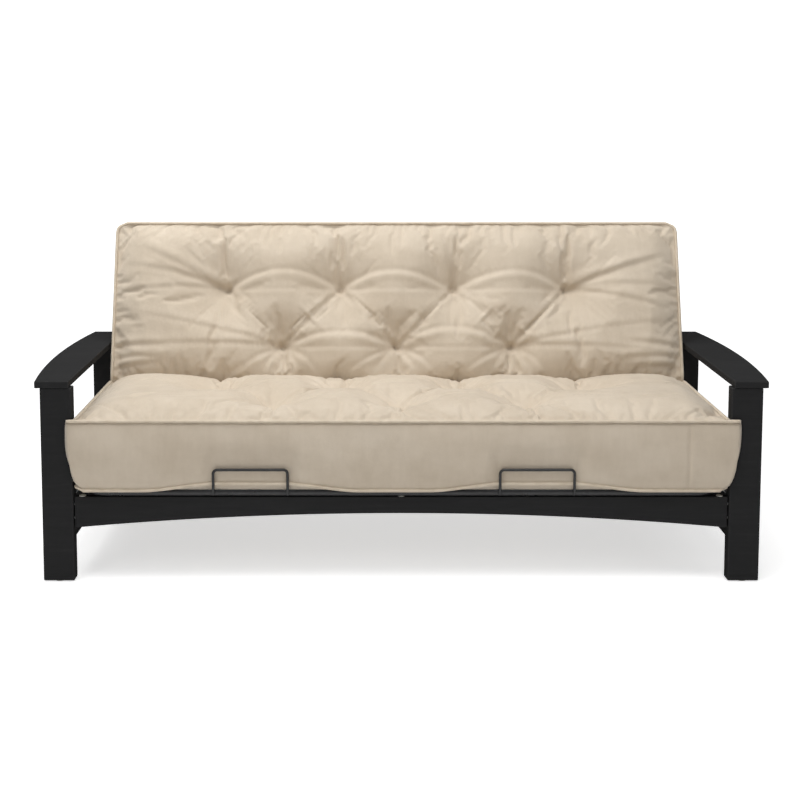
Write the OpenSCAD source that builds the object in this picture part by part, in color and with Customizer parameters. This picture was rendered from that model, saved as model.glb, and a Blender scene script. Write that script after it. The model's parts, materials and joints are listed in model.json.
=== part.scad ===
// Futon sofa bed: two wooden side frames with bowed arm rests, an arched front stretcher, and a
// tubular steel deck in two halves that carries one folded mattress. Pulling the seat forward on
// its rollers lets the back down flat, because a pin on each back plate follows a cam groove.
// Millimetres. X runs left to right, the front faces -Y, the floor is Z = 0.

/* [Side frames] */
// Width over the outer faces of the legs
frame_w = 2033; // [1700:1:2500]
// Depth from the front of the front legs to the back of the rear legs
frame_d = 787; // [780:1:950]
// Width of a leg, seen from the front
leg_w = 88; // [64:1:110]
// Depth of a leg, front to back
leg_d = 42; // [36:1:60]
// Height of the arm rests' undersides above the floor
leg_h = 559; // [450:1:680]
// Radius of the softened edges of the wood
wood_edge = 3; // [1:0.5:4]
// Height of a floor glide
glide_h = 3; // [2:0.5:5]
// Radius of a floor glide
glide_r = 15; // [10:1:18]

/* [Arm rests] */
// Thickness of an arm rest
arm_t = 20; // [18:1:32]
// How far the arm rest reaches behind the rear leg
arm_tail = 63; // [0:1:100]
// How far the arm rest reaches in front of the front leg
arm_lead = 3; // [0:1:20]
// Distance of the straight inner edge outside the leg's inner face
arm_inset = 6.5; // [0:0.5:20]
// Width of the arm rest at its two ends
arm_end_w = 95; // [80:1:130]
// How far the outer edge bows out at the middle
arm_bow = 30; // [0:1:50]

/* [Rails and stretchers] */
// Thickness of a side rail
rail_t = 28; // [24:1:36]
// Height of a side rail
rail_h = 160; // [150:1:190]
// Height of the side rails' lower edge above the floor
rail_z = 123; // [90:1:125]
// Thickness of a stretcher
stretcher_t = 25; // [20:1:30]
// Height of a stretcher at its ends
stretcher_h = 89; // [80:1:110]
// Rise of the arch under the front stretcher
arch_h = 42; // [0:1:50]
// Setback of a stretcher's face behind the leg's face
stretcher_set = 6; // [0:1:10]
// Gap between a stretcher's end and the leg
stretcher_gap = 3; // [0.5:0.5:5]

/* [Deck] */
// Height of the top of the deck above the floor
deck_h = 272; // [262:1:290]
// Gap between the deck and a leg's inner face
deck_gap = 11.5; // [11:0.5:16]
// Diameter of the deck's frame tube
tube_d = 25; // [22:1:30]
// Wall of the deck's frame tube
tube_wall = 1.5; // [1:0.25:3]
// Centreline radius of the bent corners
bend_r = 70; // [45:1:110]
// Depth of the seat deck, front face to hinge axis
seat_len = 715; // [650:1:735]
// Length of the back deck, hinge axis to top face
back_len = 653; // [560:1:760]
// Distance from the hinge axis to the tube across each deck's hinge end
cross_v = 30; // [26:1:40]
// Diameter of the three support tubes in each deck
support_d = 15; // [12:1:18]
// Spacing of the support tubes
support_pitch = 450; // [380:1:520]
// Diameter of the mesh wire
wire_d = 5; // [4:0.5:6]
// Spacing of the wires that run across
wire_pitch = 62; // [50:1:80]

/* [Mattress retainers] */
// Outer width of a retainer loop
retainer_w = 218; // [150:1:300]
// Diameter of a retainer's wire
retainer_d = 8; // [6:0.5:10]
// Height of a retainer above the deck
retainer_h = 58; // [40:1:80]
// Bend radius of a retainer's corners
retainer_bend = 12; // [8:1:20]
// Distance between the retainers' centres
retainer_pitch = 810; // [600:1:1000]
// Sideways shift of the pair from the middle
retainer_shift = -21; // [-40:1:40]

/* [Mattress] */
// Thickness of the mattress
mattress_t = 200; // [150:1:230]
// How far the front edge bulges over the deck's front face
mattress_nose = 18; // [10:1:25]
// How far the mattress runs past the top of the back deck
mattress_over = 18; // [10:1:30]
// Gap between the mattress and the legs
mattress_gap = 6.5; // [4:0.5:12]
// Gap between soft and hard pieces that only touch
soft_gap = 0.4; // [0.3:0.1:1]
// Gap between the two halves along the crease
crease_gap = 1; // [0.6:0.1:2]

/* [Movement] */
// Recline of the back from the vertical, in degrees
recline = 17.6; // [12:0.1:24]
// How far the seat slides forward to make the bed
travel = 250; // [200:1:260]
// Radius of a deck roller
roller_r = 12; // [10:0.5:13]
// Width of a deck roller
roller_w = 8; // [6:0.5:9]
// Distance of the front rollers ahead of the hinge axis
roller_base = 385; // [340:1:395]
// Radius of a roller axle
axle_r = 5; // [4:0.5:6]
// Distance from the hinge axis to the cam pin
cam_arm = 75; // [70:1:80]
// Lean of the cam pin behind the hinge in the sofa position, in degrees
cam_lean = 10; // [5:0.5:12]
// Radius of a cam glide
cam_r = 7; // [6:0.5:8]
// Radius of a cam pin
cam_pin_r = 4; // [3:0.5:5]
// Thickness of the hinge plates
plate_t = 4; // [3:0.5:4.5]

/* [Fits] */
// Running clearance on a radius
run_gap = 0.05; // [0.02:0.01:0.1]
// Clearance of rollers and glides in their grooves
groove_gap = 0.3; // [0.2:0.1:0.6]
// Clearance on the radius of a dowel, bolt or screw in its hole
hole_gap = 0.1; // [0.05:0.05:0.3]
// Side clearance between parts stacked on one axle
stack_gap = 0.1; // [0.05:0.05:0.3]
// Gap at the welds between the mesh wires and the tubes
weld_gap = 0.05; // [0.02:0.01:0.2]
// Distance that the wear pads stand above the stretchers
pad_proud = 1.7; // [1:0.1:3]

/* [Hidden] */
$fn = 48;

LEFT = -1;
RIGHT = 1;
black = "#1c1c1e";
steel = "#8d9094";
nylon = "#d9d6cc";
birch = "#c9a978";
cloth = "#cfc1aa";

// Overall places, from the front face of the front legs (Y = 0 before centring)
outer_x = frame_w / 2;
inner_x = outer_x - leg_w;
rear_leg_y = frame_d - leg_d;
tube_r = tube_d / 2;
hinge_y = seat_len;
hinge_z = deck_h - tube_r;
side_x = inner_x - deck_gap - tube_r;
front_v = seat_len - tube_r;
top_v = back_len - tube_r;
mid_y = (hinge_y + top_v * sin(recline) + tube_r - mattress_nose) / 2;
fold = 90 - recline;

// Stretchers, their bolts and pads
stretcher_top = deck_h - tube_d - pad_proud - groove_gap;
stretcher_half = inner_x - stretcher_gap;
front_stretcher_y = stretcher_set;
rear_stretcher_y = frame_d - stretcher_set - stretcher_t;
bolt_r = 4;
bolt_head_r = 6.5;
bolt_head_h = 8;
bolt_sunk = 1;
socket_r = 3;
socket_deep = 4;
bolt_reach = 60;
bolt_zs = [stretcher_top - 63, stretcher_top - 23]; // clear of the arch's ends
barrel_r = 6;
barrel_l = 20;
barrel_in = 38;
barrel_sunk = 1;
pad_r = 10;
pad_stem_r = 4;
pad_stem_l = 10;

// Dowels in the side frames
dowel_r = 5;
rail_dowel_l = 50;
rail_dowel_in_leg = 15;
rail_dowel_zs = [rail_z + 27, rail_z + 92];
arm_dowel_l = 32;
arm_dowel_in_arm = 12;
arm_dowel_pitch = leg_w / 2;
glide_pin_r = 3;
glide_pin_l = 15;

// Guide tracks in the side rails
track_wall = 2;
track_depth = 14;
track_half = roller_r + groove_gap;
rail_web_x = inner_x + (track_depth + rail_t) / 2;
screw_r = 2;
screw_head_r = 4;
screw_l = 11;
screw_ys = [leg_d + 30, frame_d / 2, rear_leg_y - 30];

// Stack of parts on each hinge axle, outwards along X
plate_off = 1.5;
seat_plate_x1 = side_x - tube_r - plate_off;
seat_plate_x0 = seat_plate_x1 - plate_t;
back_plate_x0 = side_x + tube_r + plate_off;
back_plate_x1 = back_plate_x0 + plate_t;
plate_reach = cross_v + wire_pitch - wire_d; // short of the first wire across
weld_depth = 7;
pad_clear = 2.5; // between the cross tube and a weld pad
weld_pad_v = cross_v + tube_r + pad_clear;
weld_pad_l = plate_reach - weld_pad_v - 5;
weld_pad_half = 8;
pad_bite = 0.5;
roller_x0 = inner_x + 1.5;
roller_x1 = roller_x0 + roller_w;
axle_head_x0 = roller_x1 + 0.2;
axle_head_t = 2;
axle_head_r = 8;
nut_t = 8;
nut_r = 9;
thread_end = 2;
sleeve_r = 8.5;
lug_r = tube_r - 0.5;
tail_r = 9;

// Cam grooves
cam_depth = 12;
cam_tip_x = inner_x + cam_depth - 1;
cam_steps = 24;
tail_a = 180 + cam_lean + recline;
pin_nut_r = 6.5;
pin_nut_t = 4;

// Deck mesh
end_cap = 1; // the side tubes end just past the cross tube
wire_r = wire_d / 2;
wire_h = tube_r - wire_r;
wire_bite = 0.2;
long_wire_h = wire_h - wire_d + wire_bite;
supports = [-support_pitch, 0, support_pitch];
long_wires = [for (k = [1, 2, 4, 5]) k * support_pitch / 3];

function arc(c, r, a0, a1, n) =
    [for (i = [0:n]) c + r * [cos(a0 + (a1 - a0) * i / n), sin(a0 + (a1 - a0) * i / n)]];

// Half of a tube's chord at height h from its axis
function half_chord(r, h) = sqrt(r * r - h * h);

// Centre of the cam pin, [y, z], with the seat slid forward by s
function cam_at(s) =
    let (a = cam_lean - fold * s / travel)
    [hinge_y - s + cam_arm * sin(a), hinge_z - cam_arm * cos(a)];

// Direction in which the cam pin leaves the place for slide s
function cam_heading(s) =
    let (d = cam_at(s + 0.5) - cam_at(s - 0.5)) atan2(d[1], d[0]);

module centred() {
    translate([0, -mid_y, 0]) children();
}

// Builds a right-hand part as modelled, and its mirror image for the left side
module on_side(side) {
    centred() mirror([side == LEFT ? 1 : 0, 0, 0]) children();
}

module both_sides() {
    for (side = [LEFT, RIGHT]) on_side(side) children();
}

// Deck coordinates: Y away from the hinge axis along the deck, Z out of the sleeping face
module on_seat() {
    centred() translate([0, hinge_y, hinge_z]) rotate([0, 0, 180]) children();
}

module on_back() {
    centred() translate([0, hinge_y, hinge_z]) rotate([90 - recline, 0, 0]) children();
}

module cyl_x(x0, x1, r, gap = 0) {
    translate([x0, 0, 0]) rotate([0, 90, 0]) cylinder(h = x1 - x0, r = r + gap);
}

module cyl_y(y0, y1, r) {
    translate([0, y0, 0]) rotate([-90, 0, 0]) cylinder(h = y1 - y0, r = r);
}

module hex_x(x0, x1, r) {
    translate([x0, 0, 0]) rotate([0, 90, 0]) cylinder(h = x1 - x0, r = r, $fn = 6);
}

// Outline of a rectangle whose corners are rounded to r, drawn in by inset
function soft_rectangle(lo, hi, r, inset) =
    let (q = max(r - inset, 0.2), a = lo[0] + inset + q, b = hi[0] - inset - q,
        c = lo[1] + inset + q, d = hi[1] - inset - q)
    concat(arc([b, c], q, -90, 0, 4), arc([b, d], q, 0, 90, 4),
        arc([a, d], q, 90, 180, 4), arc([a, c], q, 180, 270, 4));

// One level of a softened slab: 0 is its full outline, 3 its full height
module soft_level(z0, z1, level) {
    drop = wood_edge * (1 - sin(30 * level));
    translate([0, 0, z0 + drop]) linear_extrude(height = z1 - z0 - 2 * drop) children();
}

function level_inset(level) = wood_edge * (1 - cos(30 * level));

// A board between two opposite corners, with softened edges
module board(lo, hi) {
    hull()
        for (level = [0:3])
            soft_level(lo[2], hi[2], level)
                polygon(soft_rectangle(lo, hi, wood_edge, level_inset(level)));
}

// Legs --------------------------------------------------------------------------------

module leg_bolts(y, r, x1) {
    for (z = bolt_zs)
        translate([0, y, z]) cyl_x(stretcher_half - bolt_reach, x1, r);
}

module leg(y, bolt_y, rail_dowel_y) {
    color(black) difference() {
        board([inner_x, y, glide_h], [outer_x, y + leg_d, leg_h]);
        leg_bolts(bolt_y, bolt_r + hole_gap, outer_x + 1);
        for (z = bolt_zs)
            translate([0, bolt_y, z])
                cyl_x(outer_x - bolt_sunk - bolt_head_h, outer_x + 1, bolt_head_r, hole_gap);
        for (z = rail_dowel_zs)
            translate([rail_web_x, rail_dowel_y, z])
                cyl_y(0, rail_dowel_l, dowel_r + hole_gap);
        arm_dowel_set(y, hole_gap);
        glide_pin(y, hole_gap);
    }
}

module front_leg(side) {
    on_side(side)
        leg(0, front_stretcher_y + stretcher_t / 2, leg_d - rail_dowel_in_leg);
}

module rear_leg(side) {
    on_side(side)
        leg(rear_leg_y, rear_stretcher_y + stretcher_t / 2,
            rear_leg_y + rail_dowel_in_leg - rail_dowel_l);
}

module glide_pin(y, gap) {
    translate([outer_x - leg_w / 2, y + leg_d / 2, glide_h - 1])
        cylinder(h = glide_pin_l + 1, r = glide_pin_r + gap);
}

module floor_glides() {
    color(nylon) both_sides() for (y = [0, rear_leg_y]) {
        translate([outer_x - leg_w / 2, y + leg_d / 2, 0]) cylinder(h = glide_h, r = glide_r);
        glide_pin(y, 0);
    }
}

// Arm rests ---------------------------------------------------------------------------

module arm_dowel_set(y, gap) {
    for (x = [-0.5, 0.5] * arm_dowel_pitch)
        translate([outer_x - leg_w / 2 + x, y + leg_d / 2,
            leg_h - arm_dowel_l + arm_dowel_in_arm])
            cylinder(h = arm_dowel_l, r = dowel_r + gap);
}

// Outline of a right-hand arm rest: straight inside, bowed outside, drawn in by inset
function arm_outline(inset) =
    let (steps = 16, x0 = inner_x + arm_inset + inset, x1 = inner_x + arm_inset + arm_end_w - inset,
        y0 = inset - arm_lead, run = arm_lead + frame_d + arm_tail - 2 * inset)
    concat([[x0, y0 + run], [x0, y0]],
        [for (i = [0:steps]) let (t = i / steps) [x1 + arm_bow * 4 * t * (1 - t), y0 + run * t]]);

module arm_rest(side) {
    color(black) on_side(side) difference() {
        hull()
            for (level = [0:3])
                soft_level(leg_h, leg_h + arm_t, level) polygon(arm_outline(level_inset(level)));
        arm_dowel_set(0, hole_gap);
        arm_dowel_set(rear_leg_y, hole_gap);
    }
}

module arm_dowels() {
    color(birch) both_sides() for (y = [0, rear_leg_y]) arm_dowel_set(y, 0);
}

// Side rails and guide tracks ----------------------------------------------------------

// Path that the cam glide sweeps, as a flat outline in Y and Z
module cam_outline(r) {
    slides = [for (i = [0:cam_steps]) travel * i / cam_steps];
    left = [for (s = slides) let (a = cam_heading(s) + 90) cam_at(s) + r * [cos(a), sin(a)]];
    right = [for (i = [cam_steps:-1:0])
        let (s = slides[i], a = cam_heading(s) - 90) cam_at(s) + r * [cos(a), sin(a)]];
    end = arc(cam_at(travel), r, cam_heading(travel) + 90, cam_heading(travel) - 90, 10);
    start = arc(cam_at(0), r, cam_heading(0) - 90, cam_heading(0) - 270, 10);
    polygon(concat(left, [for (i = [1:9]) end[i]], right, [for (i = [1:9]) start[i]]));
}

module rail_dowel_set(gap) {
    for (z = rail_dowel_zs)
        for (y = [leg_d - rail_dowel_in_leg, rear_leg_y + rail_dowel_in_leg - rail_dowel_l])
            translate([rail_web_x, y, z]) cyl_y(0, rail_dowel_l, dowel_r + gap);
}

module side_rail(side) {
    slot = track_half + track_wall;
    color(black) on_side(side) difference() {
        board([inner_x, leg_d - wood_edge, rail_z],
            [inner_x + rail_t, rear_leg_y + wood_edge, rail_z + rail_h]);
        for (y = [leg_d - 2 * wood_edge, rear_leg_y])
            translate([inner_x - 1, y, rail_z - 1])
                cube([rail_t + 2, 2 * wood_edge, rail_h + 2]);
        translate([inner_x - 1, 0, hinge_z - slot])
            cube([track_depth + 1, frame_d, 2 * slot]);
        translate([inner_x - 1, 0, 0]) rotate([90, 0, 90])
            linear_extrude(height = cam_depth + 1) cam_outline(cam_r + groove_gap);
        rail_dowel_set(hole_gap);
        track_screw_set(hole_gap);
    }
}

module rail_dowels() {
    color(birch) both_sides() rail_dowel_set(0);
}

module guide_track(side) {
    outer = track_half + track_wall;
    color(steel) on_side(side) difference() {
        translate([inner_x, leg_d, hinge_z - outer])
            cube([track_depth, rear_leg_y - leg_d, 2 * outer]);
        translate([inner_x - 1, 0, hinge_z - track_half])
            cube([track_depth - track_wall + 1, frame_d, 2 * track_half]);
        track_screw_set(hole_gap);
    }
}

module track_screw_set(gap) {
    for (y = screw_ys)
        translate([inner_x + track_depth - track_wall, y, hinge_z]) rotate([0, 90, 0]) {
            cylinder(h = screw_l, r = screw_r + gap);
            cylinder(h = track_wall, r1 = screw_head_r + gap, r2 = screw_r + gap);
        }
}

module track_screws() {
    color(steel) both_sides() track_screw_set(0);
}

// Stretchers, bolts and pads -----------------------------------------------------------

module stretcher_holes(y) {
    for (side = [LEFT, RIGHT]) mirror([side == LEFT ? 1 : 0, 0, 0]) {
        leg_bolts(y + stretcher_t / 2, bolt_r + hole_gap, stretcher_half + 1);
        barrel_bores(y);
    }
}

module pad_holes(xs, y) {
    for (x = xs)
        translate([x, y + stretcher_t / 2, stretcher_top - pad_stem_l])
            cylinder(h = pad_stem_l + 1, r = pad_stem_r + hole_gap);
}

module stretcher(y, rise, pad_xs) {
    steps = 36;
    low = stretcher_top - stretcher_h;
    arch = [for (i = [0:steps])
        let (t = i / steps) [stretcher_half * (1 - 2 * t), low + rise * 4 * t * (1 - t)]];
    color(black) centred() difference() {
        intersection() {
            board([-stretcher_half, y, low], [stretcher_half, y + stretcher_t, stretcher_top]);
            translate([0, y + stretcher_t, 0]) rotate([90, 0, 0])
                linear_extrude(height = stretcher_t)
                    polygon(concat([[-stretcher_half, stretcher_top],
                        [stretcher_half, stretcher_top]], arch));
        }
        stretcher_holes(y);
        pad_holes(pad_xs, y);
    }
}

front_pad_xs = [-side_x, 0, side_x];
rear_pad_xs = [-side_x, side_x];

module front_stretcher() {
    stretcher(front_stretcher_y, arch_h, front_pad_xs);
}

module rear_stretcher() {
    stretcher(rear_stretcher_y, 0, rear_pad_xs);
}

module frame_bolt() {
    difference() {
        union() {
            cyl_x(stretcher_half - bolt_reach, outer_x - bolt_head_h, bolt_r);
            cyl_x(outer_x - bolt_sunk - bolt_head_h, outer_x - bolt_sunk, bolt_head_r);
        }
        hex_x(outer_x - bolt_sunk - socket_deep, outer_x, socket_r);
    }
}

module frame_bolts() {
    color(steel) both_sides()
        for (y = [front_stretcher_y, rear_stretcher_y])
            for (z = bolt_zs) translate([0, y + stretcher_t / 2, z]) frame_bolt();
}

// Barrel nuts lie across the bolts, in bores from each stretcher's hidden face
function barrel_start(y) =
    y < frame_d / 2 ? y + stretcher_t - barrel_l - barrel_sunk : y + barrel_sunk;

module barrel_bores(y) {
    in_front = y < frame_d / 2;
    y0 = in_front ? barrel_start(y) - barrel_sunk : y - 1;
    y1 = in_front ? y + stretcher_t + 1 : barrel_start(y) + barrel_l + barrel_sunk;
    for (z = bolt_zs)
        translate([stretcher_half - barrel_in, 0, z]) cyl_y(y0, y1, barrel_r + hole_gap);
}

module barrel_nuts() {
    color(steel) both_sides() for (y = [front_stretcher_y, rear_stretcher_y], z = bolt_zs)
        difference() {
            translate([stretcher_half - barrel_in, 0, z])
                cyl_y(barrel_start(y), barrel_start(y) + barrel_l, barrel_r);
            translate([0, y + stretcher_t / 2, z])
                cyl_x(stretcher_half - bolt_reach - 1, stretcher_half, bolt_r, hole_gap);
        }
}

module wear_pad(x, y) {
    translate([x, y + stretcher_t / 2, stretcher_top]) {
        cylinder(h = pad_proud, r = pad_r);
        translate([0, 0, 1 - pad_stem_l]) cylinder(h = pad_stem_l, r = pad_stem_r);
    }
}

module wear_pads() {
    color(nylon) centred() {
        for (x = front_pad_xs) wear_pad(x, front_stretcher_y);
        for (x = rear_pad_xs) wear_pad(x, rear_stretcher_y);
    }
}

// Deck ----------------------------------------------------------------------------------

// Tube loop of radius r around a deck of length v, its closed end wall thick at the hinge
module deck_loop(v, r, wall) {
    for (side = [-1, 1]) {
        translate([side * side_x, 0, 0]) cyl_y(cross_v - tube_r - end_cap + wall, v - bend_r, r);
        translate([side * (side_x - bend_r), v - bend_r, 0])
            rotate([0, 0, side > 0 ? 0 : 90]) rotate_extrude(angle = 90)
                translate([bend_r, 0]) circle(r = r);
    }
    translate([0, v, 0]) cyl_x(bend_r - side_x, side_x - bend_r, r);
    translate([0, cross_v, 0]) cyl_x(-side_x, side_x, r);
}

module support_tubes(v) {
    for (x = supports) translate([x, 0, 0]) cyl_y(cross_v, v, support_d / 2);
}

module deck_tubes(v) {
    difference() {
        union() {
            deck_loop(v, tube_r, 0);
            support_tubes(v);
        }
        deck_loop(v, tube_r - tube_wall, tube_wall);
    }
}

// Wires across, flush with the tops of the tubes, and wires along under them
module deck_mesh(v) {
    long_end = half_chord(tube_r, long_wire_h - wire_r) + weld_gap;
    edge = side_x - half_chord(tube_r, wire_h - wire_r) - weld_gap;
    rows = floor((v - bend_r - cross_v - wire_pitch) / wire_pitch);
    for (k = [0:rows])
        translate([0, cross_v + wire_pitch * (k + 1), wire_h]) cyl_x(-edge, edge, wire_r);
    for (x = concat(long_wires, -long_wires))
        translate([x, 0, long_wire_h]) cyl_y(cross_v + long_end, v - long_end, wire_r);
}

// Outline of a plate that runs along a deck tube and round the hinge axis by way of points
function plate_outline(points) =
    let (half = lug_r - 1, a = asin(half / lug_r))
    concat([[plate_reach, -half], [plate_reach, half]], arc([0, 0], lug_r, a, tail_a - 90, 6),
        points, arc([0, 0], lug_r, 360 - a - 10, 360 - a, 2));

// A hinge plate, with the pad that welds it to the tube
module hinge_plate(x0, outline, pad_x0, pad_x1) {
    translate([x0, 0, 0]) rotate([90, 0, 90]) linear_extrude(height = plate_t) polygon(outline);
    translate([pad_x0, weld_pad_v, -weld_pad_half])
        cube([pad_x1 - pad_x0, weld_pad_l, 2 * weld_pad_half]);
}

module seat_frame() {
    color(black) on_seat() difference() {
        union() {
            deck_tubes(front_v);
            for (side = [-1, 1]) mirror([side < 0 ? 1 : 0, 0, 0])
                hinge_plate(seat_plate_x0,
                    plate_outline(arc([0, 0], lug_r, tail_a - 80, tail_a + 70, 14)),
                    seat_plate_x1 - pad_bite, side_x - tube_r + weld_depth);
        }
        cyl_x(-inner_x, inner_x, axle_r, run_gap);
        for (side = [-1, 1])
            translate([side * side_x, roller_base, 0])
                cyl_x(-tube_d, tube_d, axle_r, run_gap);
    }
}

module seat_mesh() {
    color(black) on_seat() deck_mesh(front_v);
}

// Plate outside each back tube: up the tube, round the hinge and down to the cam pin
module back_plate() {
    tail = cam_arm * [cos(tail_a), sin(tail_a)];
    hinge_plate(back_plate_x0, plate_outline(arc(tail, tail_r, tail_a - 90, tail_a + 90, 12)),
        side_x + tube_r - weld_depth, back_plate_x0 + pad_bite);
}

module back_frame() {
    color(black) on_back() difference() {
        union() {
            deck_tubes(top_v);
            for (side = [-1, 1]) mirror([side < 0 ? 1 : 0, 0, 0]) back_plate();
        }
        cyl_x(-inner_x, inner_x, axle_r, run_gap);
        translate([0, cam_arm * cos(tail_a), cam_arm * sin(tail_a)])
            cyl_x(-inner_x, inner_x, cam_pin_r, run_gap);
    }
}

module back_mesh() {
    color(black) on_back() deck_mesh(top_v);
}

module retainer(side) {
    x = retainer_pitch / 2;
    r = retainer_d / 2;
    half = retainer_w / 2 - r;
    top = deck_h + retainer_h - r;
    foot = hinge_z - tube_r / 2;
    color(black) centred() translate([retainer_shift + side * x, -r, 0]) {
        for (s = [-1, 1]) {
            translate([s * half, 0, foot]) cylinder(h = top - retainer_bend - foot, r = r);
            translate([s * (half - retainer_bend), 0, top - retainer_bend])
                rotate([90, 0, 0]) rotate([0, 0, s > 0 ? 0 : 90]) rotate_extrude(angle = 90)
                    translate([retainer_bend, 0]) circle(r = r);
        }
        translate([0, 0, top]) cyl_x(retainer_bend - half, half - retainer_bend, r);
    }
}

// Axles, sleeves, spacers, rollers and nuts ----------------------------------------------

module at_hinge(side) {
    on_side(side) translate([0, hinge_y, hinge_z]) children();
}

module at_front_axle(side) {
    on_side(side) translate([0, hinge_y - roller_base, hinge_z]) children();
}

module axle(x0) {
    cyl_x(x0, axle_head_x0, axle_r);
    cyl_x(axle_head_x0, axle_head_x0 + axle_head_t, axle_head_r);
}

module hinge_axle(side) {
    color(steel) at_hinge(side) axle(seat_plate_x0 - nut_t - thread_end);
}

module front_axle(side) {
    color(steel) at_front_axle(side) axle(side_x - tube_r - nut_t - thread_end);
}

module nut(x1) {
    difference() {
        hex_x(x1 - nut_t, x1, nut_r);
        cyl_x(x1 - nut_t - 1, x1 + 1, axle_r, run_gap);
    }
}

module axle_nuts() {
    color(steel) for (side = [LEFT, RIGHT]) {
        at_hinge(side) nut(seat_plate_x0);
        at_front_axle(side) nut(side_x - tube_r);
    }
}

module ring(x0, x1, r) {
    difference() {
        cyl_x(x0 + stack_gap, x1 - stack_gap, r);
        cyl_x(x0, x1, axle_r, run_gap);
    }
}

module hinge_sleeves() {
    color(steel) for (side = [LEFT, RIGHT])
        at_hinge(side) ring(seat_plate_x1, back_plate_x0, sleeve_r);
}

module axle_spacers() {
    color(steel) for (side = [LEFT, RIGHT]) {
        at_hinge(side) ring(back_plate_x1, roller_x0, sleeve_r);
        at_front_axle(side) ring(side_x + tube_r, roller_x0, sleeve_r);
    }
}

module roller() {
    difference() {
        cyl_x(roller_x0, roller_x1, roller_r);
        cyl_x(roller_x0 - 1, roller_x1 + 1, axle_r, run_gap);
    }
}

module front_roller(side) {
    color(nylon) at_front_axle(side) roller();
}

module hinge_roller(side) {
    color(nylon) at_hinge(side) roller();
}

module at_cam(side) {
    on_side(side) translate([0, cam_at(0)[0], cam_at(0)[1]]) children();
}

module cam_pin(side) {
    color(steel) at_cam(side) cyl_x(back_plate_x0 - pin_nut_t - thread_end, cam_tip_x, cam_pin_r);
}

module cam_glide(side) {
    color(nylon) at_cam(side) difference() {
        cyl_x(roller_x0, cam_tip_x, cam_r);
        cyl_x(roller_x0 - 1, cam_tip_x + 1, cam_pin_r, run_gap);
    }
}

module cam_nuts() {
    color(steel) for (side = [LEFT, RIGHT]) at_cam(side) difference() {
        hex_x(back_plate_x0 - pin_nut_t, back_plate_x0, pin_nut_r);
        cyl_x(back_plate_x0 - pin_nut_t - 1, back_plate_x0 + 1, cam_pin_r, run_gap);
    }
}

// Mattress, in two halves that meet at the crease -----------------------------------------

mattress_half_w = inner_x - mattress_gap;
mattress_low = tube_r + soft_gap;
mattress_high = mattress_low + mattress_t;
crease_half = (90 + recline) / 2;
low_round = 12;
front_round = 30;
back_round = 24;
nose_round = 4;
nose_rise = 16;
retainer_clear = 18;

// Distance from the hinge at which a half starts, at height h from the tube centres
function crease_v(h) = h / tan(crease_half) + crease_gap / 2 / sin(crease_half);

module mattress_prism(outline) {
    points = concat([[crease_v(mattress_high), mattress_high],
        [crease_v(mattress_low), mattress_low]], outline);
    translate([-mattress_half_w, 0, 0]) rotate([90, 0, 90])
        linear_extrude(height = 2 * mattress_half_w) polygon(points);
}

// The front edge is held back behind the retainers and bulges over them
module mattress_seat() {
    held = seat_len - 2;
    nose = seat_len + mattress_nose;
    over = retainer_h + tube_r + retainer_clear;
    color(cloth) on_seat() mattress_prism(concat(
        arc([held - low_round, mattress_low + low_round], low_round, -90, 0, 5),
        [[held, over - nose_rise], [nose - nose_round, over], [nose, over + nose_rise]],
        arc([nose - front_round, mattress_high - front_round], front_round, 0, 90, 8)));
}

module mattress_back() {
    top = back_len + mattress_over;
    color(cloth) on_back() mattress_prism(concat(
        arc([top - back_round, mattress_low + back_round], back_round, -90, 0, 6),
        arc([top - back_round, mattress_high - back_round], back_round, 0, 90, 6)));
}

front_leg(LEFT);  // front_leg_left
front_leg(RIGHT);  // front_leg_right
rear_leg(LEFT);  // rear_leg_left
rear_leg(RIGHT);  // rear_leg_right
arm_rest(LEFT);  // arm_rest_left
arm_rest(RIGHT);  // arm_rest_right
side_rail(LEFT);  // side_rail_left
side_rail(RIGHT);  // side_rail_right
front_stretcher();
rear_stretcher();
guide_track(LEFT);  // guide_track_left
guide_track(RIGHT);  // guide_track_right
track_screws();
rail_dowels();
arm_dowels();
frame_bolts();
barrel_nuts();
floor_glides();
wear_pads();
seat_frame();
seat_mesh();
retainer(LEFT);  // retainer_left
retainer(RIGHT);  // retainer_right
front_axle(LEFT);  // front_axle_left
front_axle(RIGHT);  // front_axle_right
hinge_axle(LEFT);  // hinge_axle_left
hinge_axle(RIGHT);  // hinge_axle_right
axle_nuts();
hinge_sleeves();
axle_spacers();
front_roller(LEFT);  // front_roller_left
front_roller(RIGHT);  // front_roller_right
hinge_roller(LEFT);  // hinge_roller_left
hinge_roller(RIGHT);  // hinge_roller_right
back_frame();
back_mesh();
cam_pin(LEFT);  // cam_pin_left
cam_pin(RIGHT);  // cam_pin_right
cam_glide(LEFT);  // cam_glide_left
cam_glide(RIGHT);  // cam_glide_right
cam_nuts();
mattress_seat();
mattress_back();
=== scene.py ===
import json
import math

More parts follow.
